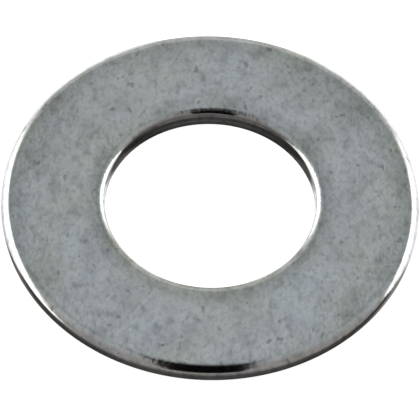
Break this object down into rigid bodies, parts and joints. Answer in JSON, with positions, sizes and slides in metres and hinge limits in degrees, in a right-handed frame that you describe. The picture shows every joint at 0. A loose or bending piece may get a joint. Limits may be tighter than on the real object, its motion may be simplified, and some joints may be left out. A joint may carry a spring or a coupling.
{
  "type": "flat washer",
  "caption": "Thin flat round washer of zinc-plated steel, with a plain clearance bore and rounded edges.",
  "frame": {"origin": "on the bore's axis at the bottom face, the flat face that the washer lies on", "axes": "+Z along the bore's axis, out of the top face, where both edges are well rounded; the washer is round, so X and Y are arbitrary"},
  "size_m": [0.0126, 0.0126, 0.0006],
  "materials": {
    "zinc_plate": "dull clear-passivated zinc plate, finely mottled"
  },
  "bodies": {
    "root": {"washer": "zinc_plate"}
  },
  "joints": []
}
